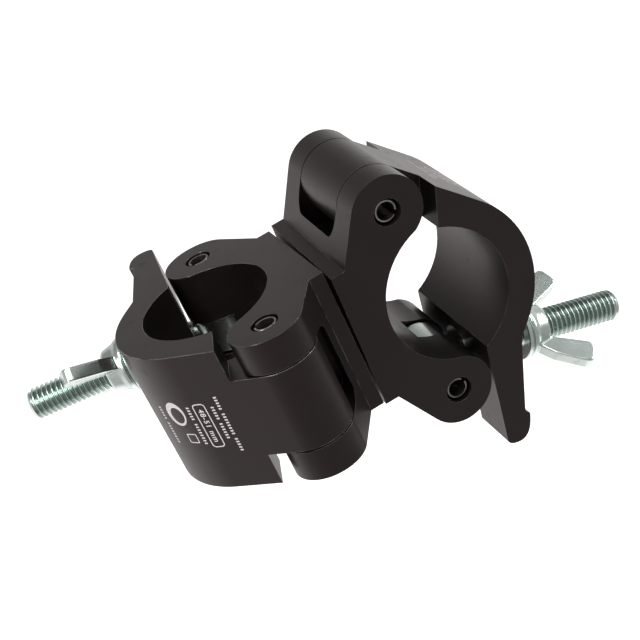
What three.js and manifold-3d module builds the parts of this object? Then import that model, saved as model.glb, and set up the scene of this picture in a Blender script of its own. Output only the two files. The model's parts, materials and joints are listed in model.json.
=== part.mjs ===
// Swivel pipe clamp: two equal half couplers, back to back on a swivel bolt.
// Millimetres, +Z up. The origin is the centre of the tube that half A grips; that tube runs
// along Z, and +X points from half A to half B. At rest both caps are shut with no tube inside.
//
// Each half is drawn in its own frame: u points out from the joint between the halves,
// v points across the tube towards the cap's hinge, and w runs along the tube.
import * as THREE from 'three';
import { mergeVertices } from 'three/addons/utils/BufferGeometryUtils.js';
import Module from 'manifold-3d';

const wasm = await Module();
wasm.setup();

// ---- driving dimensions ----
const bodyWidth = 50; // length of both extrusions along the tube
const boreRadius = 26; // takes tube up to 51 mm
const saddleFloor = 12.2; // from the joint to the bore's nearest point
const flangeHeight = 50;
const flangeThickness = 4.7;
const flangeGap = 1; // between the two flanges
const earRadius = 12;
const capWall = 9.6;
const capRestGap = 0.75; // between the shut cap's tail and the ear that it closes on
const halfTurn = 5.56; // degrees that half B is swivelled from square
const hingeSlotWidth = 29;
const hingeSlotCorner = 4;
const knuckleClearance = 0.5; // on each side of the cap's knuckle

const pinRadius = 4;
const pinWall = 1;
const pinSlit = 2;
const pinRecess = 1.5; // each pin end stops this far inside the ear
const hingePinSlitA = -30; // degrees from u to each roll pin's slit
const boltPinSlitA = 40;
const hingePinSlitB = -35;
const boltPinSlitB = 30;

const threadRadius = 5.6;
const threadChamfer = 1;
const boltLeanA = 15.9; // degrees that each bolt leans away from its cap's hinge
const boltLeanB = 16.8;
const nutTurnA = 37; // degrees that each wing nut is turned on its bolt
const nutTurnB = 120;
const nutHeight = 8.2;
const washerThickness = 1.8;
const wingThickness = 5.4;
const threadClearance = 0.35;
const pinClearance = 0.5;
const seatGap = 0.3; // between pieces that rest on each other

const swivelRadius = 6;
const headHeight = 4.5; // of the swivel bolt's head and of its nut
const socketRadius = 5; // across the corners of the driving socket
const socketDepth = 2.5;
const pocketFloor = 6.2; // u of the floor of the pocket in each saddle's bore
const thrustRadius = 20;
const thrustThickness = 0.4;

// ---- sizes that follow from them ----
const boreCentre = saddleFloor + boreRadius; // u of the tube's centre
const pinCentre = boreCentre - 13.6; // u of the hinge pin and of the bolt pin
const pinOffset = boreRadius + 9.2; // v of the hinge pin, and of the bolt pin on the other side
const capRadius = boreRadius + capWall;
const capCut = pinCentre + earRadius + 4.4; // u where the cap's wide part starts
const eyeRadius = earRadius - 0.8;
const hingeSlotStart = pinCentre - earRadius - 4.4; // u of the hinge slot's inner wall
const eyeSlotStart = pinCentre - eyeRadius - 1.2; // u of the eye slot's inner wall
const knuckleReach = Math.max(earRadius, Math.hypot(pinOffset, boreCentre - pinCentre) - boreRadius);
const slotFloor = pinOffset - knuckleReach - 1.7; // |v| of both slots' floors
const slotWidth = 2 * threadRadius + 2.2; // of the eye's slot, and of the fork in the cap
const forkSlotEnd = slotFloor + 2; // |v| where the fork's slot ends in the cap
const eyeWidth = slotWidth - 0.8;

const tailFace = boreCentre + boreRadius + 3.8; // u of the tail's outer face
const tailRoot = Math.sqrt((capRadius + 0.68) ** 2 - (boreRadius + 3.8) ** 2); // |v| at the cap's arc
const boreEnd = 0.76 * boreRadius; // |v| where the cap's part of the bore ends
const tailStart = boreEnd + 1.7; // |v| where the tail's inner face starts
const tailTip = boreRadius + 30.9; // |v| where the tail's inner face ends
const tailReach = tailTip + 2.7; // |v| of the very end of the tail
const tailRootThickness = 12.8;
const tailTipThickness = 7.3;
const lipStart = tailTip - 8.7; // |v| where the retaining lip starts
const lipHeight = 1.8;
const lipRamp = 1.6; // length of the slope that climbs the lip
const lipLength = 3.2; // from the lip's start to where its end turns round
const tipRound = 3.6;

const pinHoleRadius = pinRadius + pinClearance;
const shankRadius = threadRadius - 0.7; // plain part between the eye and the thread
const boltGrip = tailFace - pinCentre; // from the eye's centre to the tail of a cap on a full-size tube
const threadStart = boltGrip - 8.4;
const boltReach = boltGrip + 31.4; // from the eye's centre to the thread's outer end
const washerStart = boltGrip - 8; // from the eye's centre to the loose washer's inner face
const washerRadius = threadRadius + 4.4;
const nutBaseRadius = threadRadius + 4.2;
const nutTopRadius = threadRadius + 1.7;
const nutHole = threadRadius + threadClearance;
const wingRoot = 1.5; // height of the wing's inner edge at the hub
const wingBendRadius = nutBaseRadius + 4.5; // where the wing's inner edge bends
const wingBendHeight = nutHeight - 1.5;
const wingTipRadius = nutBaseRadius + 12; // inner corner of the wing's end
const wingTipHeight = nutHeight + 9;
const wingEndRadius = nutBaseRadius + 4.9; // outer corner of the wing's end
const wingEndHeight = nutHeight + 12.9;
const wingRound = 3; // how far the rounding of the end's corners reaches

const headRadius = swivelRadius + 5.5;
const swivelNutRadius = swivelRadius + 4.4; // across the corners
const pocketRadius = headRadius + 1;

const over = 1; // how far a cutting shape runs past the face it cuts
const round = 64; // facets round a large circle
const roundSmall = 32;
const roundCorner = 6; // facets along a corner's curve
const weld = 1e-4; // points closer than this are one
const rad = Math.PI / 180;

// ---- solids ----
function toSolid(geometry) {
  const bare = geometry.clone();
  bare.deleteAttribute('normal');
  bare.deleteAttribute('uv');
  const merged = mergeVertices(bare, weld);
  return new wasm.Manifold(new wasm.Mesh({
    numProp: 3,
    vertProperties: new Float32Array(merged.attributes.position.array),
    triVerts: new Uint32Array(merged.index.array),
  }));
}

function toMesh(name, solid, material) {
  const data = solid.getMesh();
  const geometry = new THREE.BufferGeometry();
  geometry.setAttribute('position', new THREE.BufferAttribute(new Float32Array(data.vertProperties), 3));
  geometry.setIndex(new THREE.BufferAttribute(new Uint32Array(data.triVerts), 1));
  geometry.computeVertexNormals();
  const mesh = new THREE.Mesh(geometry, material);
  mesh.name = name;
  return mesh;
}

// A flat outline in u and v, given a thickness along w and centred on w = 0.
function slab(shape, thickness, facets = round / 4) {
  const geometry = new THREE.ExtrudeGeometry(shape, {
    depth: thickness, bevelEnabled: false, curveSegments: facets,
  });
  return toSolid(geometry.translate(0, 0, -thickness / 2));
}

// A block between two corners.
function block(u0, u1, v0, v1, w0, w1) {
  const geometry = new THREE.BoxGeometry(u1 - u0, v1 - v0, w1 - w0);
  return toSolid(geometry.translate((u0 + u1) / 2, (v0 + v1) / 2, (w0 + w1) / 2));
}

// A round bar along w at a point in u and v.
function barAlongW(radius, length, centre, facets = roundSmall) {
  const geometry = new THREE.CylinderGeometry(radius, radius, length, facets);
  return toSolid(geometry.rotateX(Math.PI / 2).translate(centre.x, centre.y, 0));
}

// A solid turned about the u axis from a profile of [radius, u] points.
function turned(points, facets = roundSmall) {
  const profile = points.map(([radius, u]) => new THREE.Vector2(radius, u));
  return toSolid(new THREE.LatheGeometry(profile, facets).rotateZ(-Math.PI / 2));
}

// Where the line through a point touches a circle; side is +1 or -1.
function touch(point, centre, radius, side) {
  const gap = centre.clone().sub(point);
  const turn = Math.acos(radius / gap.length()) * side;
  return gap.negate().normalize().rotateAround(new THREE.Vector2(), turn).multiplyScalar(radius).add(centre);
}

function angleOf(point, centre) {
  return Math.atan2(point.y - centre.y, point.x - centre.x);
}

// ---- points shared by the saddle and the cap ----
const hinge = new THREE.Vector2(pinCentre, pinOffset);
const anchor = new THREE.Vector2(pinCentre, -pinOffset);
const bore = new THREE.Vector2(boreCentre, 0);
const outside = pinOffset + 2 * earRadius; // |v| clear of both ears

// Degrees that an empty cap closes past its place on a full-size tube, until its tail's inner
// face comes to rest on the bolt's ear.
function shutAngle() {
  const start = new THREE.Vector2(tailFace - tailRootThickness, -tailStart);
  const end = new THREE.Vector2(tailFace - tailTipThickness, -tailTip);
  const along = end.sub(start).normalize();
  const outward = new THREE.Vector2(-along.y, along.x);
  const room = start.sub(hinge).dot(outward) - earRadius - capRestGap;
  return (outward.angle() + Math.asin(room / (2 * pinOffset))) / rad;
}

// ---- saddle ----
function saddleOutline() {
  const back = flangeGap / 2;
  const top = new THREE.Vector2(back + flangeThickness, flangeHeight / 2);
  const bottom = new THREE.Vector2(top.x, -top.y);
  const upper = touch(top, hinge, earRadius, -1);
  const lower = touch(bottom, anchor, earRadius, 1);
  const facing = angleOf(bore, hinge);
  const shape = new THREE.Shape();
  shape.moveTo(back, -top.y);
  shape.lineTo(bottom.x, bottom.y);
  shape.lineTo(lower.x, lower.y);
  shape.absarc(anchor.x, anchor.y, earRadius, angleOf(lower, anchor), -facing, false);
  shape.absarc(hinge.x, hinge.y, earRadius, facing, angleOf(upper, hinge), false);
  shape.lineTo(top.x, top.y);
  shape.lineTo(back, top.y);
  return shape;
}

// The hinge slot with its round inner corners, seen along v.
function hingeSlot() {
  const half = hingeSlotWidth / 2;
  const far = pinCentre + 2 * earRadius;
  const corner = hingeSlotStart + hingeSlotCorner;
  const shape = new THREE.Shape();
  shape.moveTo(far, -half);
  shape.lineTo(far, half);
  shape.lineTo(corner, half);
  shape.absarc(corner, half - hingeSlotCorner, hingeSlotCorner, Math.PI / 2, Math.PI, false);
  shape.absarc(corner, -half + hingeSlotCorner, hingeSlotCorner, Math.PI, 1.5 * Math.PI, false);
  const geometry = new THREE.ExtrudeGeometry(shape, {
    depth: outside, bevelEnabled: false, curveSegments: roundCorner,
  });
  return toSolid(geometry.rotateX(-Math.PI / 2).translate(0, slotFloor, 0));
}

// The hole for the swivel bolt, and the wider pocket that its head or its nut sits in.
function swivelHole() {
  const hole = swivelRadius + seatGap;
  return turned([[0, -over], [hole, -over], [hole, pocketFloor], [pocketRadius, pocketFloor],
    [pocketRadius, boreCentre], [0, boreCentre]], round);
}

function saddle() {
  const farSide = pinCentre + 2 * earRadius;
  const halfSlot = slotWidth / 2;
  return slab(saddleOutline(), bodyWidth)
    .subtract(barAlongW(boreRadius, bodyWidth + 2 * over, bore, round))
    .subtract(hingeSlot())
    .subtract(block(eyeSlotStart, farSide, -outside, -slotFloor, -halfSlot, halfSlot))
    .subtract(barAlongW(pinHoleRadius, bodyWidth + 2 * over, hinge))
    .subtract(barAlongW(pinHoleRadius, bodyWidth + 2 * over, anchor))
    .subtract(swivelHole());
}

// ---- cap ----
function capOutline() {
  const facing = angleOf(bore, hinge);
  const lean = Math.acos((earRadius - capRadius) / hinge.distanceTo(bore));
  const tangent = facing + lean; // direction of the flat between both arcs
  const corner = new THREE.Vector2(tailFace, -tailRoot);
  const leave = touch(corner, bore, capRadius, 1);
  const lipTop = tailFace + lipHeight;
  const innerFace = tailFace - tailTipThickness;
  const shape = new THREE.Shape();
  shape.absarc(hinge.x, hinge.y, earRadius, facing, tangent - 2 * Math.PI, true);
  shape.absarc(bore.x, bore.y, capRadius, tangent, angleOf(leave, bore), true);
  shape.lineTo(corner.x, corner.y);
  shape.lineTo(tailFace, -lipStart);
  shape.lineTo(lipTop, -lipStart - lipRamp);
  shape.lineTo(lipTop, -lipStart - lipLength);
  shape.quadraticCurveTo(lipTop, -tailReach, tailFace - tipRound, -tailReach);
  shape.quadraticCurveTo(innerFace, -tailReach, innerFace, -tailTip);
  shape.lineTo(tailFace - tailRootThickness, -tailStart);
  shape.absarc(bore.x, bore.y, boreRadius, -Math.asin(boreEnd / boreRadius), facing + Math.PI, false);
  return shape;
}

// The slot that makes the tail a fork round the bolt, with a round inner end, seen along u.
function forkSlot() {
  const half = slotWidth / 2;
  const centre = forkSlotEnd + half;
  const shape = new THREE.Shape();
  shape.moveTo(-half, -tailReach - over);
  shape.lineTo(half, -tailReach - over);
  shape.lineTo(half, -centre);
  shape.absarc(0, -centre, half, 0, Math.PI, false);
  const geometry = new THREE.ExtrudeGeometry(shape, {
    depth: 2 * capRadius, bevelEnabled: false, curveSegments: roundCorner,
  });
  return toSolid(geometry.rotateY(Math.PI / 2).translate(boreCentre, 0, 0));
}

function cap() {
  const tongue = hingeSlotWidth / 2 - knuckleClearance;
  const side = bodyWidth / 2 + over;
  return slab(capOutline(), bodyWidth)
    .subtract(block(-over, capCut, 0, outside, tongue, side))
    .subtract(block(-over, capCut, 0, outside, -side, -tongue))
    .subtract(forkSlot())
    .subtract(barAlongW(pinHoleRadius, bodyWidth, hinge));
}

// ---- small pieces ----
// A spring-steel roll pin: a tube with a slit along it.
function rollPin(centre, slitAngle) {
  const length = bodyWidth - 2 * pinRecess;
  const middle = new THREE.Vector2();
  const slit = block(0, pinRadius + over, -pinSlit / 2, pinSlit / 2, -length, length);
  return barAlongW(pinRadius, length, middle)
    .subtract(barAlongW(pinRadius - pinWall, length + 2 * over, middle))
    .subtract(slit)
    .rotate([0, 0, slitAngle])
    .translate([centre.x, centre.y, 0]);
}

// The bolt lies along u with the centre of its eye at the origin.
function eyebolt() {
  const eye = new THREE.Vector2();
  const shank = turned([[0, 0], [shankRadius, 0], [shankRadius, threadStart - threadChamfer],
    [threadRadius, threadStart], [threadRadius, boltReach - threadChamfer],
    [threadRadius - threadChamfer, boltReach], [0, boltReach]]);
  return barAlongW(eyeRadius, eyeWidth, eye, round)
    .add(shank)
    .subtract(barAlongW(pinHoleRadius, eyeWidth + 2 * over, eye));
}

function washer() {
  return turned([[nutHole, 0], [washerRadius, 0], [washerRadius, washerThickness],
    [nutHole, washerThickness], [nutHole, 0]]);
}

// A point a short way from one corner towards the next.
function towards(from, to) {
  return to.clone().sub(from).setLength(wingRound).add(from);
}

// A wing's outline: x is the height above the nut's base, y is the distance from its axis.
function wingOutline() {
  const bend = new THREE.Vector2(wingBendHeight, wingBendRadius);
  const tip = new THREE.Vector2(wingTipHeight, wingTipRadius);
  const end = new THREE.Vector2(wingEndHeight, wingEndRadius);
  const top = new THREE.Vector2(nutHeight, nutTopRadius);
  const shape = new THREE.Shape();
  shape.moveTo(wingRoot, 0);
  shape.lineTo(wingRoot, nutTopRadius);
  shape.quadraticCurveTo(wingRoot + over, nutBaseRadius, bend.x, bend.y);
  shape.lineTo(...towards(tip, bend));
  shape.quadraticCurveTo(tip.x, tip.y, ...towards(tip, end));
  shape.lineTo(...towards(end, tip));
  shape.quadraticCurveTo(end.x, end.y, ...towards(end, top));
  shape.lineTo(top.x, top.y);
  shape.lineTo(nutHeight, 0);
  return shape;
}

function wingNut() {
  const hub = turned([[0, 0], [nutBaseRadius, 0], [nutBaseRadius, wingRoot],
    [nutTopRadius, nutHeight], [0, nutHeight]]);
  const wing = slab(wingOutline(), wingThickness, roundCorner);
  return hub
    .add(wing)
    .add(wing.rotate([180, 0, 0]))
    .subtract(turned([[0, -over], [nutHole, -over], [nutHole, wingEndHeight], [0, wingEndHeight]]));
}

// The bolt that joins the halves; its head is in half A and has a six-sided socket.
function swivelBolt() {
  const under = pocketFloor + seatGap;
  const top = under + headHeight;
  const bolt = turned([[0, -top], [headRadius, -top], [headRadius, -under], [swivelRadius, -under],
    [swivelRadius, top], [0, top]], round);
  const socket = new THREE.CylinderGeometry(socketRadius, socketRadius, 2 * socketDepth, 6);
  return bolt.subtract(toSolid(socket.rotateZ(Math.PI / 2).translate(-top, 0, 0)));
}

function swivelNut() {
  const nut = new THREE.CylinderGeometry(swivelNutRadius, swivelNutRadius, headHeight, 6)
    .rotateZ(Math.PI / 2)
    .translate(pocketFloor + seatGap + headHeight / 2, 0, 0);
  const hole = swivelRadius + seatGap;
  return toSolid(nut)
    .subtract(turned([[0, 0], [hole, 0], [hole, boreCentre], [0, boreCentre]], round));
}

function thrustWasher() {
  const half = thrustThickness / 2;
  const hole = swivelRadius + seatGap;
  return turned([[hole, -half], [thrustRadius, -half], [thrustRadius, half], [hole, half],
    [hole, -half]], round);
}

// ---- materials ----
const black = () => new THREE.MeshStandardMaterial({ color: 0x161515, roughness: 0.42, metalness: 0.55 });
const zinc = () => new THREE.MeshStandardMaterial({ color: 0xc9cfcb, roughness: 0.3, metalness: 1 });
const steel = () => new THREE.MeshStandardMaterial({ color: 0x8f8b88, roughness: 0.35, metalness: 1 });
const polymer = () => new THREE.MeshStandardMaterial({ color: 0x0c0c0c, roughness: 0.6, metalness: 0 });

// ---- one half coupler in its own frame ----
function halfCoupler(letter, boltLean, nutTurn, hingePinSlit, boltPinSlit) {
  const half = new THREE.Group();
  half.add(toMesh(`saddle_${letter}`, saddle(), black()));
  half.add(toMesh(`hinge_pin_${letter}`, rollPin(hinge, hingePinSlit), steel()));
  half.add(toMesh(`bolt_pin_${letter}`, rollPin(anchor, boltPinSlit), steel()));

  const capPivot = new THREE.Group();
  capPivot.position.set(hinge.x, hinge.y, 0);
  capPivot.rotation.z = -shutAngle() * rad;
  const capMesh = toMesh(`cap_${letter}`, cap(), black());
  capMesh.position.set(-hinge.x, -hinge.y, 0);
  capPivot.add(capMesh);
  half.add(capPivot);

  const bolt = new THREE.Group();
  bolt.position.set(anchor.x, anchor.y, 0);
  bolt.rotation.z = -boltLean * rad;
  bolt.add(toMesh(`eyebolt_${letter}`, eyebolt(), zinc()));
  const washerMesh = toMesh(`washer_${letter}`, washer(), zinc());
  washerMesh.position.x = washerStart;
  bolt.add(washerMesh);
  const nutMesh = toMesh(`wing_nut_${letter}`, wingNut(), zinc());
  nutMesh.position.x = washerStart + washerThickness + seatGap;
  nutMesh.rotation.x = nutTurn * rad;
  bolt.add(nutMesh);
  half.add(bolt);
  return half;
}

// ---- assembly ----
const group = new THREE.Group();
const joint = new THREE.Group();
joint.position.x = boreCentre;
group.add(joint);

const halfA = halfCoupler('a', boltLeanA, nutTurnA, hingePinSlitA, boltPinSlitA);
halfA.rotation.z = Math.PI;
joint.add(halfA);

const halfB = halfCoupler('b', boltLeanB, nutTurnB, hingePinSlitB, boltPinSlitB);
halfB.rotation.x = Math.PI / 2 + halfTurn * rad;
joint.add(halfB);

joint.add(toMesh('swivel_bolt', swivelBolt(), steel()));
joint.add(toMesh('swivel_nut', swivelNut(), steel()));
joint.add(toMesh('thrust_washer', thrustWasher(), polymer()));

export default group;
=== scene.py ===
import json
import math

import bmesh
import bpy
from mathutils import Matrix, Vector
from mathutils.bvhtree import BVHTree


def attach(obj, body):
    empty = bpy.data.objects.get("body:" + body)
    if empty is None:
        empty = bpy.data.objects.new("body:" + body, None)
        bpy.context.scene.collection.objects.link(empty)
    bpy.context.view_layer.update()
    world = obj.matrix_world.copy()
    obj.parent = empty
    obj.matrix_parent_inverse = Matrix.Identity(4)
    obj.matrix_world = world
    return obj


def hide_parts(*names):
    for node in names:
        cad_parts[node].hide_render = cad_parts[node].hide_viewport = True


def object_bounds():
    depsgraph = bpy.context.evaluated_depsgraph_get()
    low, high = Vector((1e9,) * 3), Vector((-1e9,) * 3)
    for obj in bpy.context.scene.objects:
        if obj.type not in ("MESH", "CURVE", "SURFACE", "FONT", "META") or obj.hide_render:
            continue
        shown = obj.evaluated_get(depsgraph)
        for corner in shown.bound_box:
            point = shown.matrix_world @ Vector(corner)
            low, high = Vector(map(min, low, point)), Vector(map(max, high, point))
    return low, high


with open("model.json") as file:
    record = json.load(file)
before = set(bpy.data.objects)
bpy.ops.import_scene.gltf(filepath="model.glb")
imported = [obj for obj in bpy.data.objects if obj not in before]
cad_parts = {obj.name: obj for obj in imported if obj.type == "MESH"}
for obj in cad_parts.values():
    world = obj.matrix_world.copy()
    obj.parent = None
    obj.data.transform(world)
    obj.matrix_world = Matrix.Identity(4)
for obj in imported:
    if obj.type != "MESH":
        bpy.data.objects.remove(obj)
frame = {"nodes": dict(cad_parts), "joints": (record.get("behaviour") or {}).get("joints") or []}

# A swivel pipe clamp for stage lighting: two half couplers on one swivel bolt.
# Lengths are in metres. Places come from the frame's joints and nodes.

mm = 0.001
cadBox = [list(corner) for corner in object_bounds()]
joints = {joint["name"]: joint for joint in frame["joints"]}
stage = bpy.context.scene
print("frame loaded:", len(frame["nodes"]), "nodes")


# the camera and the light

cameraSet = {
    "place": (-0.04143, -0.40512, 0.19739),
    "facing": (0.16809, 0.88560, -0.43297),
    "upward": (0.49987, 0.30199, 0.81175),
    "lens": 79.47,
    "sensor": 36,
    "nearest": 0.01,
    "furthest": 20,
}

studio = {
    "floorSize": 40,
    "floorDrop": 0.25,  # below the lowest point of the clamp
    "floorColour": (0.93, 0.93, 0.93, 1),
    "floorGlow": 0.8,
    "lampUp": (0.1, 0.2, 1),
    "skyBase": (0.62, 0.60, 0.60, 1),
    "sky": (  # a direction, where a patch starts and is full, its colour
        ((0, 0, 1), 0.3, 0.6, (0.27, 0.265, 0.265, 1)),
        ((0.20, -0.80, -0.56), 0.1, 0.7, (0.36, 0.35, 0.35, 1)),
        ((-0.72, 0.60, -0.35), 0.74, 0.95, (1.05, 1.02, 1.02, 1)),
        ((0.05, 0.25, -0.97), 0.72, 0.92, (1.35, 1.27, 1.29, 1)),
        ((0.46, 0.86, -0.23), 0.84, 0.97, (1.15, 1.14, 1.13, 1)),
    ),
}

lamps = {  # place, size in x and y, power in watts
    "overheadBox": ((0.15, -0.40, 0.95), (0.80, 0.60), 7.0),
    "leftBox": ((-0.68, -0.45, 0.52), (0.42, 0.50), 4.5),
    "rightBox": ((0.90, -0.20, 0.20), (0.22, 0.60), 3.0),
}


def turnTo(facing, upward):
    # the turn of a camera or lamp that looks along facing
    back = -Vector(facing).normalized()
    side = Vector(upward).cross(back).normalized()
    return Matrix((side, back.cross(side), back)).transposed().to_4x4()


def makeCamera():
    data = bpy.data.cameras.new("camera")
    data.lens = cameraSet["lens"]
    data.sensor_width = cameraSet["sensor"]
    data.clip_start = cameraSet["nearest"]
    data.clip_end = cameraSet["furthest"]
    camera = bpy.data.objects.new("camera", data)
    camera.matrix_world = Matrix.Translation(cameraSet["place"]) @ turnTo(
        cameraSet["facing"], cameraSet["upward"])
    stage.collection.objects.link(camera)
    stage.camera = camera


def makeLamps():
    centre = (Vector(cadBox[0]) + Vector(cadBox[1])) / 2
    for name, (place, size, power) in lamps.items():
        data = bpy.data.lights.new(name, "AREA")
        data.shape = "RECTANGLE"
        data.size, data.size_y = size
        data.energy = power
        lamp = bpy.data.objects.new(name, data)
        away = centre - Vector(place)
        lamp.matrix_world = Matrix.Translation(place) @ turnTo(away, studio["lampUp"])
        stage.collection.objects.link(lamp)


# materials

class Signal:
    # one output of a node, for use in sums
    def __init__(self, look, socket):
        self.look = look
        self.socket = socket

    def maths(self, operation, first, second):
        return self.look.node("ShaderNodeMath", {"operation": operation},
                              {0: first, 1: second})

    def __add__(self, other):
        return self.maths("ADD", self, other)

    def __radd__(self, other):
        return self.maths("ADD", other, self)

    def __sub__(self, other):
        return self.maths("SUBTRACT", self, other)

    def __rsub__(self, other):
        return self.maths("SUBTRACT", other, self)

    def __mul__(self, other):
        return self.maths("MULTIPLY", self, other)

    def __rmul__(self, other):
        return self.maths("MULTIPLY", other, self)


class Look:
    # a material and its Principled shader
    def __init__(self, name, colour, metallic, roughness):
        self.material = bpy.data.materials.new(name)
        self.material.use_nodes = True
        self.tree = self.material.node_tree
        self.shader = self.tree.nodes["Principled BSDF"]
        self.material.diffuse_color = colour
        self.feed(self.shader.inputs["Base Color"], colour)
        self.feed(self.shader.inputs["Metallic"], metallic)
        self.feed(self.shader.inputs["Roughness"], roughness)

    def feed(self, socket, value):
        if isinstance(value, Signal):
            self.tree.links.new(value.socket, socket)
        else:
            socket.default_value = value

    def set(self, name, value):
        self.feed(self.shader.inputs[name], value)

    def node(self, kind, settings, sockets, output=0):
        made = self.tree.nodes.new(kind)
        for key, value in settings.items():
            if key == "stops":
                for stop, (place, level) in zip(made.color_ramp.elements, value):
                    stop.position = place
                    stop.color = (level, level, level, 1)
            else:
                setattr(made, key, value)
        for key, value in sockets.items():
            self.feed(made.inputs[key], value)
        return Signal(self, made.outputs[output])

    def place(self, turn=(0, 0, 0), stretch=(1, 1, 1)):
        spot = self.node("ShaderNodeTexCoord", {}, {}, output=3)
        return self.node("ShaderNodeMapping", {},
                         {"Vector": spot, "Rotation": turn, "Scale": stretch})

    def noise(self, spot, scale, detail=3):
        return self.node("ShaderNodeTexNoise", {},
                         {"Vector": spot, "Scale": scale, "Detail": detail})

    def blend(self, mask, first, second):
        return self.node("ShaderNodeMix", {"data_type": "RGBA"},
                         {0: mask, 6: first, 7: second}, output=2)

    def ramp(self, value, low, high):
        return self.node("ShaderNodeValToRGB", {"stops": ((low, 0), (high, 1))}, {0: value})

    def bump(self, height, strength, distance):
        return self.node("ShaderNodeBump", {},
                         {"Height": height, "Strength": strength, "Distance": distance})


anodised = {
    "dark": (0.0040, 0.0031, 0.0030, 1),
    "warm": (0.0062, 0.0046, 0.0044, 1),
    # the edge colour is pale rubbed metal, and partly a painted highlight along the broken edges
    "edge": (0.29, 0.265, 0.26, 1),
    "sheen": (1.0, 0.81, 0.80, 1),
    "lineScale": 900,  # die lines run along the extrusion
    "grainScale": 4200,
    "cloudScale": 55,
    "scuffScale": 230,
    "turns": {"a": 0, "b": -95.56},  # degrees about x that bring each half's length to z
}


def anodisedLook(name, turn):
    # turn brings the extrusion's length to z
    look = Look(name, anodised["dark"], 0.0, 0.4)
    length = look.place(turn, (1, 1, 0.02))
    even = look.place()
    lines = look.noise(length, anodised["lineScale"], 2)
    grain = look.noise(even, anodised["grainScale"], 2)
    cloud = look.noise(even, anodised["cloudScale"], 4)
    scuff = look.ramp(look.noise(even, anodised["scuffScale"], 6), 0.60, 0.74)
    look.set("Base Color", look.blend(cloud, anodised["dark"], anodised["warm"]))
    look.set("Roughness", 0.27 + 0.10 * cloud + 0.06 * grain + 0.08 * scuff)
    look.set("Specular IOR Level", 0.45)
    look.set("Specular Tint", anodised["sheen"])
    look.set("Normal", look.bump(0.6 * lines + 0.4 * grain, 0.10, 0.00006))
    return look.material


def edgeWearAndHighlightLook():
    # the thin pale line along the extrusions' edges: rubbed wear, and partly a painted highlight where
    # the light catches the edges
    look = Look("rubbedEdgeAndPaintedHighlight", anodised["edge"], 0.0, 0.3)
    rubAndHighlight = look.ramp(look.noise(look.place(), 160, 5), 0.40, 0.62)
    look.set("Base Color", look.blend(rubAndHighlight, anodised["warm"], anodised["edge"]))
    look.set("Metallic", 0.8 * rubAndHighlight)
    look.set("Roughness", 0.34 - 0.08 * rubAndHighlight)
    look.set("Specular IOR Level", 0.5)
    return look.material


zinc = {
    "bright": (0.82, 0.90, 0.865, 1),
    "dull": (0.44, 0.55, 0.505, 1),
    # painted shade for the roots of the thread
    "root": (0.30, 0.37, 0.34, 1),
}


def zincLook(name, bright, dull):
    look = Look(name, bright, 1.0, 0.2)
    even = look.place()
    cloud = look.noise(even, 110, 4)
    grain = look.noise(even, 2600, 3)
    stain = look.ramp(look.noise(even, 300, 5), 0.52, 0.70)
    look.set("Base Color", look.blend(0.55 * cloud + 0.35 * stain, bright, dull))
    look.set("Roughness", 0.14 + 0.12 * cloud + 0.08 * grain)
    look.set("Normal", look.bump(grain + 2 * cloud, 0.07, 0.00006))
    return look.material


spring = {
    "plain": (0.36, 0.34, 0.33, 1),
    "clean": (0.42, 0.40, 0.39, 1),
    "oiled": (0.20, 0.185, 0.18, 1),
}


def steelLook():
    look = Look("springSteel", spring["plain"], 1.0, 0.3)
    even = look.place()
    grain = look.noise(even, 1800, 4)
    oil = look.ramp(look.noise(even, 260, 4), 0.42, 0.66)
    look.set("Base Color", look.blend(oil, spring["clean"], spring["oiled"]))
    look.set("Roughness", 0.22 + 0.14 * oil + 0.08 * grain)
    look.set("Normal", look.bump(grain, 0.10, 0.00005))
    return look.material


polymer = {
    "colour": (0.012, 0.012, 0.012, 1),
}


def polymerLook():
    look = Look("blackPolymer", polymer["colour"], 0.0, 0.55)
    grain = look.noise(look.place(), 2400, 3)
    look.set("Roughness", 0.46 + 0.16 * grain)
    look.set("Normal", look.bump(grain, 0.2, 0.00005))
    return look.material


etched = {
    "plain": (0.62, 0.61, 0.60, 1),
    "low": (0.40, 0.36, 0.345, 1),
    "high": (0.62, 0.57, 0.55, 1),
}


def etchLook():
    look = Look("etchedMark", etched["plain"], 0.0, 0.6)
    speck = look.noise(look.place(), 3800, 3)
    look.set("Base Color", look.blend(speck, etched["low"], etched["high"]))
    look.set("Roughness", 0.52 + 0.14 * speck)
    return look.material


def floorLook():
    look = Look("paleFloor", studio["floorColour"], 0.0, 0.8)
    haze = look.noise(look.place(), 3, 2)
    look.set("Roughness", 0.75 + 0.1 * haze)
    look.set("Emission Color", studio["floorColour"])
    look.set("Emission Strength", studio["floorGlow"])
    return look.material


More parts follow.
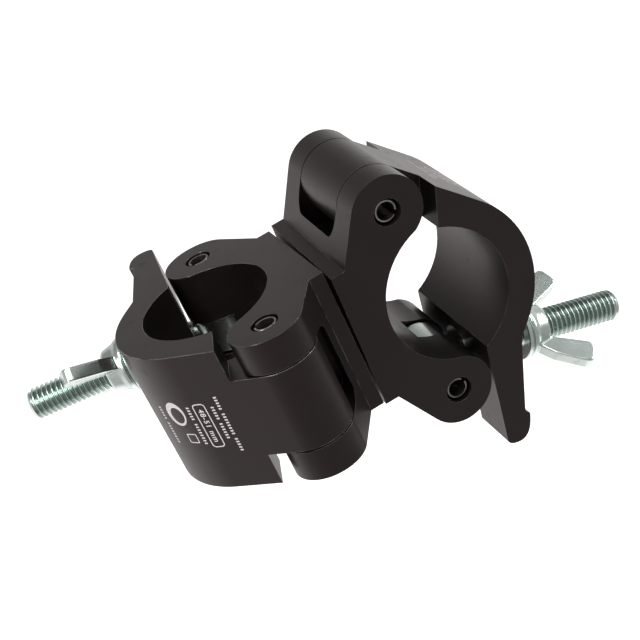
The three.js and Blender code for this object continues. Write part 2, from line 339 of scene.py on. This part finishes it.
def makeStudio():
    lowest = cadBox[0][2] - studio["floorDrop"]
    bm = bmesh.new()
    bmesh.ops.create_grid(bm, x_segments=1, y_segments=1, size=studio["floorSize"] / 2,
                          matrix=Matrix.Translation((0, 0, lowest)))
    mesh = bpy.data.meshes.new("floor")
    bm.to_mesh(mesh)
    bm.free()
    mesh.materials.append(floorLook())
    floor = bpy.data.objects.new("floor", mesh)
    stage.collection.objects.link(floor)
    floor.visible_glossy = False
    floor.visible_shadow = False

    world = bpy.data.worlds.new("studio")
    world.use_nodes = True
    tree = world.node_tree
    background = tree.nodes["Background"]
    spot = tree.nodes.new("ShaderNodeTexCoord")
    under = None
    for direction, start, full, colour in studio["sky"]:
        towards = tree.nodes.new("ShaderNodeVectorMath")
        towards.operation = "DOT_PRODUCT"
        towards.inputs[1].default_value = direction
        tree.links.new(spot.outputs["Generated"], towards.inputs[0])
        share = tree.nodes.new("ShaderNodeMapRange")
        share.inputs["From Min"].default_value = start
        share.inputs["From Max"].default_value = full
        tree.links.new(towards.outputs["Value"], share.inputs["Value"])
        blend = tree.nodes.new("ShaderNodeMix")
        blend.data_type = "RGBA"
        blend.inputs[6].default_value = studio["skyBase"]
        blend.inputs[7].default_value = colour
        tree.links.new(share.outputs["Result"], blend.inputs[0])
        if under:
            tree.links.new(under, blend.inputs[6])
        under = blend.outputs[2]
    tree.links.new(under, background.inputs["Color"])
    stage.world = world
    stage.view_settings.view_transform = "Standard"


# tools for the pieces

def axisOf(jointName):
    # the point and the direction of a joint
    joint = joints[jointName]
    return Vector(joint["pos_m"]), Vector(joint["axis"]).normalized()


def boltFrame(letter):
    # x runs out along the swing bolt, z along its pin
    eye, outward = axisOf(f"nut_spin_{letter}")
    pinAxis = -axisOf(f"bolt_swing_{letter}")[1]
    turn = Matrix((outward, pinAxis.cross(outward), pinAxis)).transposed().to_4x4()
    return Matrix.Translation(eye) @ turn


def pinFrame(jointName, letter):
    # x points away from the swivel joint, z runs along the pin
    place, axis = axisOf(jointName)
    if jointName.startswith("bolt"):
        axis = -axis
    outward = axisOf("swivel")[1] * (-1 if letter == "a" else 1)
    turn = Matrix((outward, axis.cross(outward), axis)).transposed().to_4x4()
    return Matrix.Translation(place) @ turn


def reach(node, place):
    # lowest and highest x, and the largest distance from the x axis, in a piece's own frame
    back = place.inverted()
    points = [back @ vertex.co for vertex in frame["nodes"][node].data.vertices]
    along = [point.x for point in points]
    return min(along), max(along), max(math.hypot(point.y, point.z) for point in points)


def turnedShape(profile, steps):
    # profile is a list of (x, radius) points; the shape is spun about x
    bm = bmesh.new()
    verts = [bm.verts.new((x, radius, 0)) for x, radius in profile]
    edges = [bm.edges.new(pair) for pair in zip(verts, verts[1:])]
    bmesh.ops.spin(bm, geom=verts + edges, cent=(0, 0, 0), axis=(1, 0, 0), angle=math.tau,
                   steps=steps, use_merge=True, use_duplicate=False)
    bmesh.ops.remove_doubles(bm, verts=bm.verts, dist=1e-6)
    bmesh.ops.recalc_face_normals(bm, faces=bm.faces)
    return bm


def copyOf(bm, place):
    made = bm.copy()
    bmesh.ops.transform(made, matrix=place, verts=made.verts)
    return made


def asObject(bm, name):
    mesh = bpy.data.meshes.new(name)
    bm.to_mesh(mesh)
    bm.free()
    made = bpy.data.objects.new(name, mesh)
    stage.collection.objects.link(made)
    return made


def worked(bm, changes):
    # runs modifiers on a shape: each is a kind and its settings, and a bmesh among them is a tool
    made = asObject(bm, "work")
    tools = []
    for kind, settings in changes:
        modifier = made.modifiers.new(kind, kind)
        for key, value in settings.items():
            if key == "object":
                value = asObject(value, "tool")
                tools.append(value)
            setattr(modifier, key, value)
    graph = bpy.context.evaluated_depsgraph_get()
    mesh = bpy.data.meshes.new_from_object(made.evaluated_get(graph))
    result = bmesh.new()
    result.from_mesh(mesh)
    for used in [made] + tools:
        bpy.data.objects.remove(used)
    bpy.data.meshes.remove(mesh)
    return result


def cutWith(tool, operation="DIFFERENCE"):
    return "BOOLEAN", {"operation": operation, "solver": "EXACT", "object": tool}


def softEdges(bm, width, segments=2, least=30):
    # bevels the edges that turn by more than the least angle, and gives back the new faces
    sharp = [edge for edge in bm.edges
             if len(edge.link_faces) == 2 and edge.calc_face_angle(0) > math.radians(least)]
    return bmesh.ops.bevel(bm, geom=sharp, offset=width, offset_type="OFFSET", affect="EDGES",
                           segments=segments, profile=0.5, material=-1, clamp_overlap=True)["faces"]


def addPiece(name, bm, body, looks, nodes, smooth=35):
    made = asObject(bm, name)
    for look in looks:
        made.data.materials.append(look)
    made.data.shade_smooth()
    made.data.set_sharp_from_angle(angle=math.radians(smooth))
    made.modifiers.new("even", "WEIGHTED_NORMAL").keep_sharp = True
    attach(made, body)
    if nodes:
        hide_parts(*nodes)
    return made


# the saddles and the caps

extrusion = {
    "edge": 0.32 * mm,  # width of the broken edges
    "weld": 0.004 * mm,
    "flat": 0.6,  # faces that turn by less than this many degrees are merged
    "smooth": 20,  # edges that turn by more than this many degrees stay sharp
}


def makeExtrusion(name, body, looks):
    # the frame's own shape, merged and with its edges broken
    bm = bmesh.new()
    bm.from_mesh(frame["nodes"][name].data)
    bmesh.ops.remove_doubles(bm, verts=bm.verts, dist=extrusion["weld"])
    bmesh.ops.dissolve_limit(bm, angle_limit=math.radians(extrusion["flat"]),
                              verts=bm.verts, edges=bm.edges)
    # the bevel faces take the pale edge look: rubbed wear and a painted highlight
    for face in softEdges(bm, extrusion["edge"]):
        face.material_index = 1
    addPiece(name + "_body", bm, body, looks, [name], extrusion["smooth"])


# the marks etched on the caps

marks = {  # sizes in mm on the flat of a cap: across it, then along the extrusion
    "face": (16.83, 60.52),  # a point of the flat, in the bolt's frame
    "normal": (0.504, 0.864),
    "label": "48-51 mm",
    "labelSize": 2.7,
    "labelWeight": 0.05,
    "labelSpacing": 1.15,
    "framePlace": (7.2, -0.85),
    "frameSize": (4.7, 16.6),
    "frameRound": 1.3,
    "ringPlace": (-3.2, 4.0),
    "ringSize": (3.7, 4.5),
    "ringHole": 0.68,  # the hole's share of the ring's size
    "holeShift": (0.4, -0.5),
    "ringSteps": 48,
    "boxPlace": (-1.4, -5.4),
    "boxSize": (4.0, 3.6),
    "boxRound": 0.5,
    "line": 0.38,
    "rows": ((14.6, 9.3, -11.9), (12.0, 5.9, -7.7), (2.9, 6.6, -8.3), (-9.9, 6.0, -9.6)),
    "dash": (1.1, 0.55, 0.5),  # height, width and gap of the dashes in a row
    "skipped": (9, 5),  # in each group of this many dashes, which one is left out
    "strip": 0.7,  # the marks are cut in strips this wide, so that they follow the cap
    "lift": 0.015,
    "above": 12,  # the marks are dropped on the cap from this height
}


def roundedOutline(place, size, corner, steps=6):
    # the corners of a rounded rectangle, in order
    points = []
    for turn, (right, up) in enumerate(((1, 1), (-1, 1), (-1, -1), (1, -1))):
        for step in range(steps + 1):
            angle = (turn + step / steps) * math.pi / 2
            points.append((place[0] + right * (size[0] / 2 - corner) + corner * math.cos(angle),
                           place[1] + up * (size[1] / 2 - corner) + corner * math.sin(angle)))
    return points


def addBand(bm, outer, inner):
    # a flat band between two outlines of the same count
    loops = []
    for outline in (outer, inner):
        verts = [bm.verts.new((x, y, 0)) for x, y in outline]
        loops += [bm.edges.new(pair) for pair in zip(verts, verts[1:] + verts[:1])]
    bmesh.ops.bridge_loops(bm, edges=loops)


def addLabel(bm):
    curve = bpy.data.curves.new("label", "FONT")
    curve.body = marks["label"]
    curve.size = marks["labelSize"]
    curve.align_x = "CENTER"
    curve.align_y = "CENTER"
    curve.offset = marks["labelWeight"]
    curve.space_character = marks["labelSpacing"]
    words = bpy.data.objects.new("label", curve)
    stage.collection.objects.link(words)
    graph = bpy.context.evaluated_depsgraph_get()
    mesh = bpy.data.meshes.new_from_object(words.evaluated_get(graph))
    place = Matrix.Translation((*marks["framePlace"], 0))
    mesh.transform(place @ Matrix.Rotation(-math.pi / 2, 4, "Z"))
    bm.from_mesh(mesh)
    bpy.data.objects.remove(words)
    bpy.data.curves.remove(curve)
    bpy.data.meshes.remove(mesh)


def marksShape(letter):
    # drawn flat, cut in strips, then laid on the cap
    bm = bmesh.new()
    line = marks["line"]
    for place, size, corner in ((marks["framePlace"], marks["frameSize"], marks["frameRound"]),
                                (marks["boxPlace"], marks["boxSize"], marks["boxRound"])):
        addBand(bm, roundedOutline(place, size, corner),
                roundedOutline(place, (size[0] - 2 * line, size[1] - 2 * line), corner - line))
    steps = marks["ringSteps"]
    circle = [(math.cos(step * math.tau / steps), math.sin(step * math.tau / steps))
              for step in range(steps)]
    wide, tall = marks["ringSize"]
    middle, height = marks["ringPlace"]
    hole, (right, up) = marks["ringHole"], marks["holeShift"]
    addBand(bm, [(middle + wide * x, height + tall * y) for x, y in circle],
            [(middle + right + hole * wide * x, height + up + hole * tall * y) for x, y in circle])
    tallDash, wideDash, gap = marks["dash"]
    group, skipped = marks["skipped"]
    for across, start, end in marks["rows"]:
        count = int((start - end) / (wideDash + gap))
        for step in range(count):
            if step % group == skipped:
                continue
            low = start - step * (wideDash + gap) - wideDash
            corners = ((across - tallDash / 2, low), (across + tallDash / 2, low),
                       (across + tallDash / 2, low + wideDash),
                       (across - tallDash / 2, low + wideDash))
            bm.faces.new([bm.verts.new((x, y, 0)) for x, y in corners])
    addLabel(bm)
    spread = [vert.co.x for vert in bm.verts]
    cut = min(spread) + marks["strip"]
    while cut < max(spread):
        bmesh.ops.bisect_plane(bm, geom=bm.verts[:] + bm.edges[:] + bm.faces[:], dist=1e-5,
                               plane_co=(cut, 0, 0), plane_no=(1, 0, 0))
        cut += marks["strip"]

    place = boltFrame(letter)
    normal = Vector((*marks["normal"], 0))
    across = Vector((-normal.y, normal.x, 0))
    cap = frame["nodes"][f"cap_{letter}"].data
    surface = BVHTree.FromPolygons([vert.co for vert in cap.vertices],
                                   [face.vertices[:] for face in cap.polygons])
    for vert in bm.verts:
        flat = Vector((*marks["face"], 0)) + across * vert.co.x + Vector((0, 0, vert.co.y))
        above = place @ ((flat + marks["above"] * normal) * mm)
        spot, facing = surface.ray_cast(above, -(place.to_3x3() @ normal))[:2]
        vert.co = spot + facing * marks["lift"] * mm
    bmesh.ops.recalc_face_normals(bm, faces=bm.faces)
    outward = place.to_3x3() @ normal
    if sum(face.normal.dot(outward) * face.calc_area() for face in bm.faces) < 0:
        bmesh.ops.reverse_faces(bm, faces=bm.faces)
    return bm


# the swing bolts, washers and wing nuts

thread = {
    "pitch": 1.814 * mm,
    "depth": 1.0 * mm,
    "stepsPerTurn": 40,
    "chamfer": 1.3 * mm,
    "runOut": 1.6 * mm,
    "lead": 0.4 * mm,  # the thread starts this far before the washer
    "crest": 0.06 * mm,  # rounding of the crests
    "endDrop": 0.1 * mm,  # of the chamfer's end below the root
    "rootShadeStart": 2 * mm,  # the painted shade in the roots starts this far along the thread
    "rootShadeDepth": (0.5, 1.1),  # and covers the faces between these shares of its depth
}

bolt = {
    "shank": 4.9 * mm,
    "eyeWidth": 12.6 * mm,
    "eyeHole": 4.5 * mm,
    "eyeEdge": 0.9 * mm,
    "neckStart": 0.2 * mm,  # where the shank narrows into the thread
    "neckEnd": 0.8 * mm,
    "neckDepth": 0.4 * mm,
}

washer = {
    "edge": 0.25 * mm,
    "rim": 4.0 * mm,  # from its hole to its rim
    "overThread": 4.4 * mm,  # from the thread's crests to its rim
}

wing = {
    "thickness": 5.0 * mm,
    "voxel": 0.30 * mm,
    "hole": 5.75 * mm,
    "turns": {"a": 37, "b": 120},  # degrees that each nut is turned on its bolt
    "reach": 21.8 * mm,  # of the outline below, from the nut's axis
    # height above the nut's base and distance from its axis, in mm
    "outline": ((1.6, 0), (1.6, 7.0), (2.6, 9.4), (6.7, 14.3), (15.4, 20.6), (17.0, 21.3),
                (18.6, 20.4), (20.4, 17.0), (20.8, 15.4), (20.2, 13.8), (18.6, 12.8), (8.1, 7.2),
                (8.1, 0)),
    # height above the base and how much wider than the hole, in mm
    "drill": ((-1, 1.2), (0.2, 0), (7.4, 0), (8.6, 1.0)),
    "smoothing": 6,
    "hub": ((0, 9.3), (0.5, 9.8), (1.6, 9.7), (3.4, 8.6), (7.2, 7.6), (8.1, 6.9)),
}


def threadShape(start, end, radius):
    # one turn's section, spun along the bolt and cut to length
    pitch, root = thread["pitch"], radius - thread["depth"]
    crest = radius - thread["crest"]
    section = [(0, root), (0.07, root), (0.40, crest), (0.47, radius), (0.53, radius),
               (0.60, crest), (0.93, root), (1, root)]
    bm = bmesh.new()
    turns = math.ceil((end - start) / pitch) + 3
    first = start - 2 * pitch
    verts = [bm.verts.new((first + share * pitch, size, 0)) for share, size in section]
    edges = [bm.edges.new(pair) for pair in zip(verts, verts[1:])]
    steps = thread["stepsPerTurn"]
    bmesh.ops.spin(bm, geom=verts + edges, cent=(0, 0, 0), axis=(1, 0, 0),
                   dvec=(pitch / steps, 0, 0), angle=math.tau * turns, steps=steps * turns,
                   use_merge=False, use_duplicate=False)
    bmesh.ops.remove_doubles(bm, verts=bm.verts, dist=0.002 * mm)
    for cut, side in ((start, -1), (end, 1)):
        bmesh.ops.bisect_plane(bm, geom=bm.verts[:] + bm.edges[:] + bm.faces[:], dist=1e-7,
                               plane_co=(cut, 0, 0), plane_no=(side, 0, 0), clear_outer=True)
        rim = [edge for edge in bm.edges if edge.is_boundary
               and all(abs(vert.co.x - cut) < 1e-6 for vert in edge.verts)]
        bmesh.ops.contextual_create(bm, geom=rim)
    for vert in bm.verts:  # the chamfer at the end and the run-out at the shank
        size = math.hypot(vert.co.y, vert.co.z)
        limit = min(root + (end - vert.co.x) * (thread["depth"] / thread["chamfer"]) - thread["endDrop"],
                    root + (vert.co.x - start) * (thread["depth"] / thread["runOut"]))
        if size > limit:
            vert.co.y *= limit / size
            vert.co.z *= limit / size
    bmesh.ops.recalc_face_normals(bm, faces=bm.faces)
    return bm


def eyeShape(radius):
    half, hole, edge = bolt["eyeWidth"] / 2, bolt["eyeHole"], bolt["eyeEdge"]
    rings = turnedShape([(-half, hole), (-half, radius - edge),
                         (-half + 0.3 * edge, radius - 0.3 * edge),
                         (-half + edge, radius), (half - edge, radius),
                         (half - 0.3 * edge, radius - 0.3 * edge),
                         (half, radius - edge), (half, hole), (-half, hole)], 72)
    bmesh.ops.rotate(rings, verts=rings.verts, cent=(0, 0, 0),
                     matrix=Matrix.Rotation(math.pi / 2, 3, "Y"))
    return rings


def boltShape(letter):
    eyeStart, end = reach(f"eyebolt_{letter}", boltFrame(letter))[:2]
    eyeRadius = -eyeStart
    washerReach = reach(f"washer_{letter}", boltFrame(letter))
    threadRadius = washerReach[2] - washer["overThread"]
    start = washerReach[0] - thread["lead"]
    neck = start + bolt["neckEnd"]
    shank = turnedShape([(0.5 * eyeRadius, 0), (0.5 * eyeRadius, bolt["shank"]),
                         (start + bolt["neckStart"], bolt["shank"]),
                         (neck, bolt["shank"] - bolt["neckDepth"]), (neck, 0)], 48)
    made = worked(eyeShape(eyeRadius), [
        cutWith(shank, "UNION"), cutWith(threadShape(start, end, threadRadius), "UNION")])
    shallow, deep = thread["rootShadeDepth"]
    for face in made.faces:  # painted shade: the faces deep in the thread's roots take a darker zinc
        spot = face.calc_center_median()
        depth = threadRadius - math.hypot(spot.y, spot.z)
        inside = start + thread["rootShadeStart"] < spot.x < end - thread["chamfer"]
        if inside and shallow < depth / thread["depth"] < deep:
            face.material_index = 1
    return made


def washerShape(letter):
    low, high, radius = reach(f"washer_{letter}", boltFrame(letter))
    edge = washer["edge"]
    hole = radius - washer["rim"]
    return turnedShape([(low, hole + edge), (low, radius - edge), (low + edge, radius),
                        (high - edge, radius), (high, radius - edge), (high, hole + edge),
                        (high - edge, hole), (low + edge, hole), (low, hole + edge)], 64)


def wingShape(base, radius):
    # one wing, drawn flat and given its thickness
    bm = bmesh.new()
    scale = radius / wing["reach"]
    verts = [bm.verts.new((base + x * mm, y * mm * scale, -wing["thickness"] / 2))
             for x, y in wing["outline"]]
    face = bm.faces.new(verts)
    top = bmesh.ops.extrude_face_region(bm, geom=[face])["geom"]
    bmesh.ops.translate(bm, vec=(0, 0, wing["thickness"]),
                        verts=[part for part in top if isinstance(part, bmesh.types.BMVert)])
    bmesh.ops.recalc_face_normals(bm, faces=bm.faces)
    return bm


def nutShape(letter):
    low, high, radius = reach(f"wing_nut_{letter}", boltFrame(letter))
    profile = [(low + x * mm, y * mm) for x, y in wing["hub"]]
    hub = turnedShape([(low, 0)] + profile + [(profile[-1][0], 0)], 64)
    one = wingShape(low, radius)
    other = copyOf(one, Matrix.Rotation(math.pi, 4, "X"))
    bore = [(low + x * mm, wing["hole"] + y * mm) for x, y in wing["drill"]]
    drill = turnedShape([(bore[0][0], 0)] + bore + [(high, bore[-1][1]), (high, 0)], 48)
    forged = worked(hub, [
        cutWith(one, "UNION"), cutWith(other, "UNION"),
        ("REMESH", {"mode": "VOXEL", "voxel_size": wing["voxel"], "adaptivity": 0}),
        ("SMOOTH", {"factor": 0.5, "iterations": wing["smoothing"]})])
    return worked(forged, [cutWith(drill)])


# the pins and the swivel bolt

rollPin = {
    "wall": 1.0 * mm,
    "slit": 2.0 * mm,
    "chamfer": 0.5 * mm,
    "chamferLength": 1.6,  # along the pin, as a share of the chamfer
    "steps": 56,
    "slits": {"hinge_pin_a": -30, "bolt_pin_a": 40, "hinge_pin_b": -35, "bolt_pin_b": 30},
    "proud": {"a": 1.1 * mm, "b": 0.1 * mm},  # how much further each end comes out of its ear
}


def pinShape(node, jointName, letter):
    # a section through the wall, spun round all but the slit
    place = pinFrame(jointName, letter)
    back = place.inverted()
    points = [back @ vertex.co for vertex in frame["nodes"][node].data.vertices]
    half = max(point.z for point in points) + rollPin["proud"][letter]
    radius = max(math.hypot(point.x, point.y) for point in points)
    inner, edge = radius - rollPin["wall"], rollPin["chamfer"]
    slope = rollPin["chamferLength"] * edge
    section = [(inner, -half), (radius - edge, -half), (radius, -half + slope),
               (radius, half - slope), (radius - edge, half), (inner, half)]
    gap = rollPin["slit"] / radius
    turn = Matrix.Rotation(math.radians(rollPin["slits"][node]) + gap / 2, 4, "Z")
    bm = bmesh.new()
    face = bm.faces.new([bm.verts.new(turn @ Vector((x, 0, z))) for x, z in section])
    bmesh.ops.spin(bm, geom=[face] + list(face.verts) + list(face.edges), cent=(0, 0, 0),
                   axis=(0, 0, 1), angle=math.tau - gap, steps=rollPin["steps"], use_merge=False,
                   use_duplicate=False)
    bmesh.ops.recalc_face_normals(bm, faces=bm.faces)
    return copyOf(bm, place)


swivelBolt = {
    "shank": 6 * mm,
    "head": 4.5 * mm,
    "edge": 0.6 * mm,
    "socket": 5 * mm,  # from its middle to a corner
    "socketDepth": 2.5 * mm,
    "nutHole": 6.2 * mm,
    "nutDome": (0.7 * mm, 1.2 * mm),  # along the nut and across it
}


def swivelFrame():
    return Matrix.Translation(axisOf("swivel")[0])


def socketShape(across, depth, tip):
    bm = bmesh.new()
    place = Matrix.Translation((tip, 0, 0)) @ Matrix.Rotation(math.pi / 2, 4, "Y")
    bmesh.ops.create_cone(bm, cap_ends=True, segments=6, radius1=across, radius2=across,
                          depth=2 * depth, matrix=place)
    return bm


def swivelBoltShape():
    low, high, radius = reach("swivel_bolt", swivelFrame())
    body, head, edge = swivelBolt["shank"], swivelBolt["head"], swivelBolt["edge"]
    shape = turnedShape([(low, 0), (low, radius - edge), (low + edge, radius), (low + head, radius),
                         (low + head, body), (high - edge, body), (high, body - edge), (high, 0)], 64)
    socket = socketShape(swivelBolt["socket"], swivelBolt["socketDepth"], low)
    return worked(shape, [cutWith(socket)])


def swivelNutShape():
    low, high, radius = reach("swivel_nut", swivelFrame())
    shape = socketShape(radius, (high - low) / 2, (low + high) / 2)
    along, across = swivelBolt["nutDome"]
    dome = turnedShape([(low, 0), (low, radius), (high - along, radius),
                        (high, radius - across), (high, 0)], 64)
    hole = swivelBolt["nutHole"]
    drill = turnedShape([(low - mm, 0), (low - mm, hole), (high + mm, hole), (high + mm, 0)], 48)
    return worked(shape, [cutWith(dome, "INTERSECT"), cutWith(drill)])


def makeLooks():
    return {
        "edge": edgeWearAndHighlightLook(),
        "a": anodisedLook("anodisedA", (math.radians(anodised["turns"]["a"]), 0, 0)),
        "b": anodisedLook("anodisedB", (math.radians(anodised["turns"]["b"]), 0, 0)),
        "plate": zincLook("zincPlate", zinc["bright"], zinc["dull"]),
        "steel": steelLook(),
        "etch": etchLook(),
        # a darker zinc that paints shade into the thread's roots
        "root": zincLook("threadRootPaintedShade", zinc["dull"], zinc["root"]),
        "polymer": polymerLook(),
    }


def makeHalf(letter, looks):
    shell = [looks[letter], looks["edge"]]
    makeExtrusion(f"saddle_{letter}", f"half_{letter}", shell)
    makeExtrusion(f"cap_{letter}", f"cap_{letter}", shell)
    addPiece(f"etchedMarks_{letter}", marksShape(letter), f"cap_{letter}",
             [looks["etch"]], [])
    print("half", letter, "extrusions made")

    place = boltFrame(letter)
    turn = Matrix.Rotation(math.radians(wing["turns"][letter]), 4, "X")
    # the bolt's second look paints shade into the thread's roots
    addPiece(f"swingBolt_{letter}", copyOf(boltShape(letter), place), f"bolt_{letter}",
             [looks["plate"], looks["root"]], [f"eyebolt_{letter}"])
    addPiece(f"looseWasher_{letter}", copyOf(washerShape(letter), place),
             f"loose_washer_{letter}", [looks["plate"]], [f"washer_{letter}"])
    addPiece(f"wingNut_{letter}", copyOf(nutShape(letter), place @ turn), f"nut_{letter}",
             [looks["plate"]], [f"wing_nut_{letter}"])
    print("half", letter, "bolt made")

    for node, jointName in ((f"hinge_pin_{letter}", f"cap_hinge_{letter}"),
                            (f"bolt_pin_{letter}", f"bolt_swing_{letter}")):
        addPiece(node + "_roll", pinShape(node, jointName, letter), f"half_{letter}",
                 [looks["steel"]], [node])
    print("half", letter, "pins made")


def makeSwivel(looks):
    addPiece("swivelScrew", copyOf(swivelBoltShape(), swivelFrame()), "half_a",
             [looks["steel"]], ["swivel_bolt"])
    addPiece("swivelLocknut", copyOf(swivelNutShape(), swivelFrame()), "half_a",
             [looks["steel"]], ["swivel_nut"])
    washerMesh = frame["nodes"]["thrust_washer"].data
    washerMesh.materials.clear()
    washerMesh.materials.append(looks["polymer"])
    print("swivel made")


def makeAll():
    looks = makeLooks()
    for letter in "ab":
        makeHalf(letter, looks)
    makeSwivel(looks)


makeCamera()
makeLamps()
makeStudio()
makeAll()
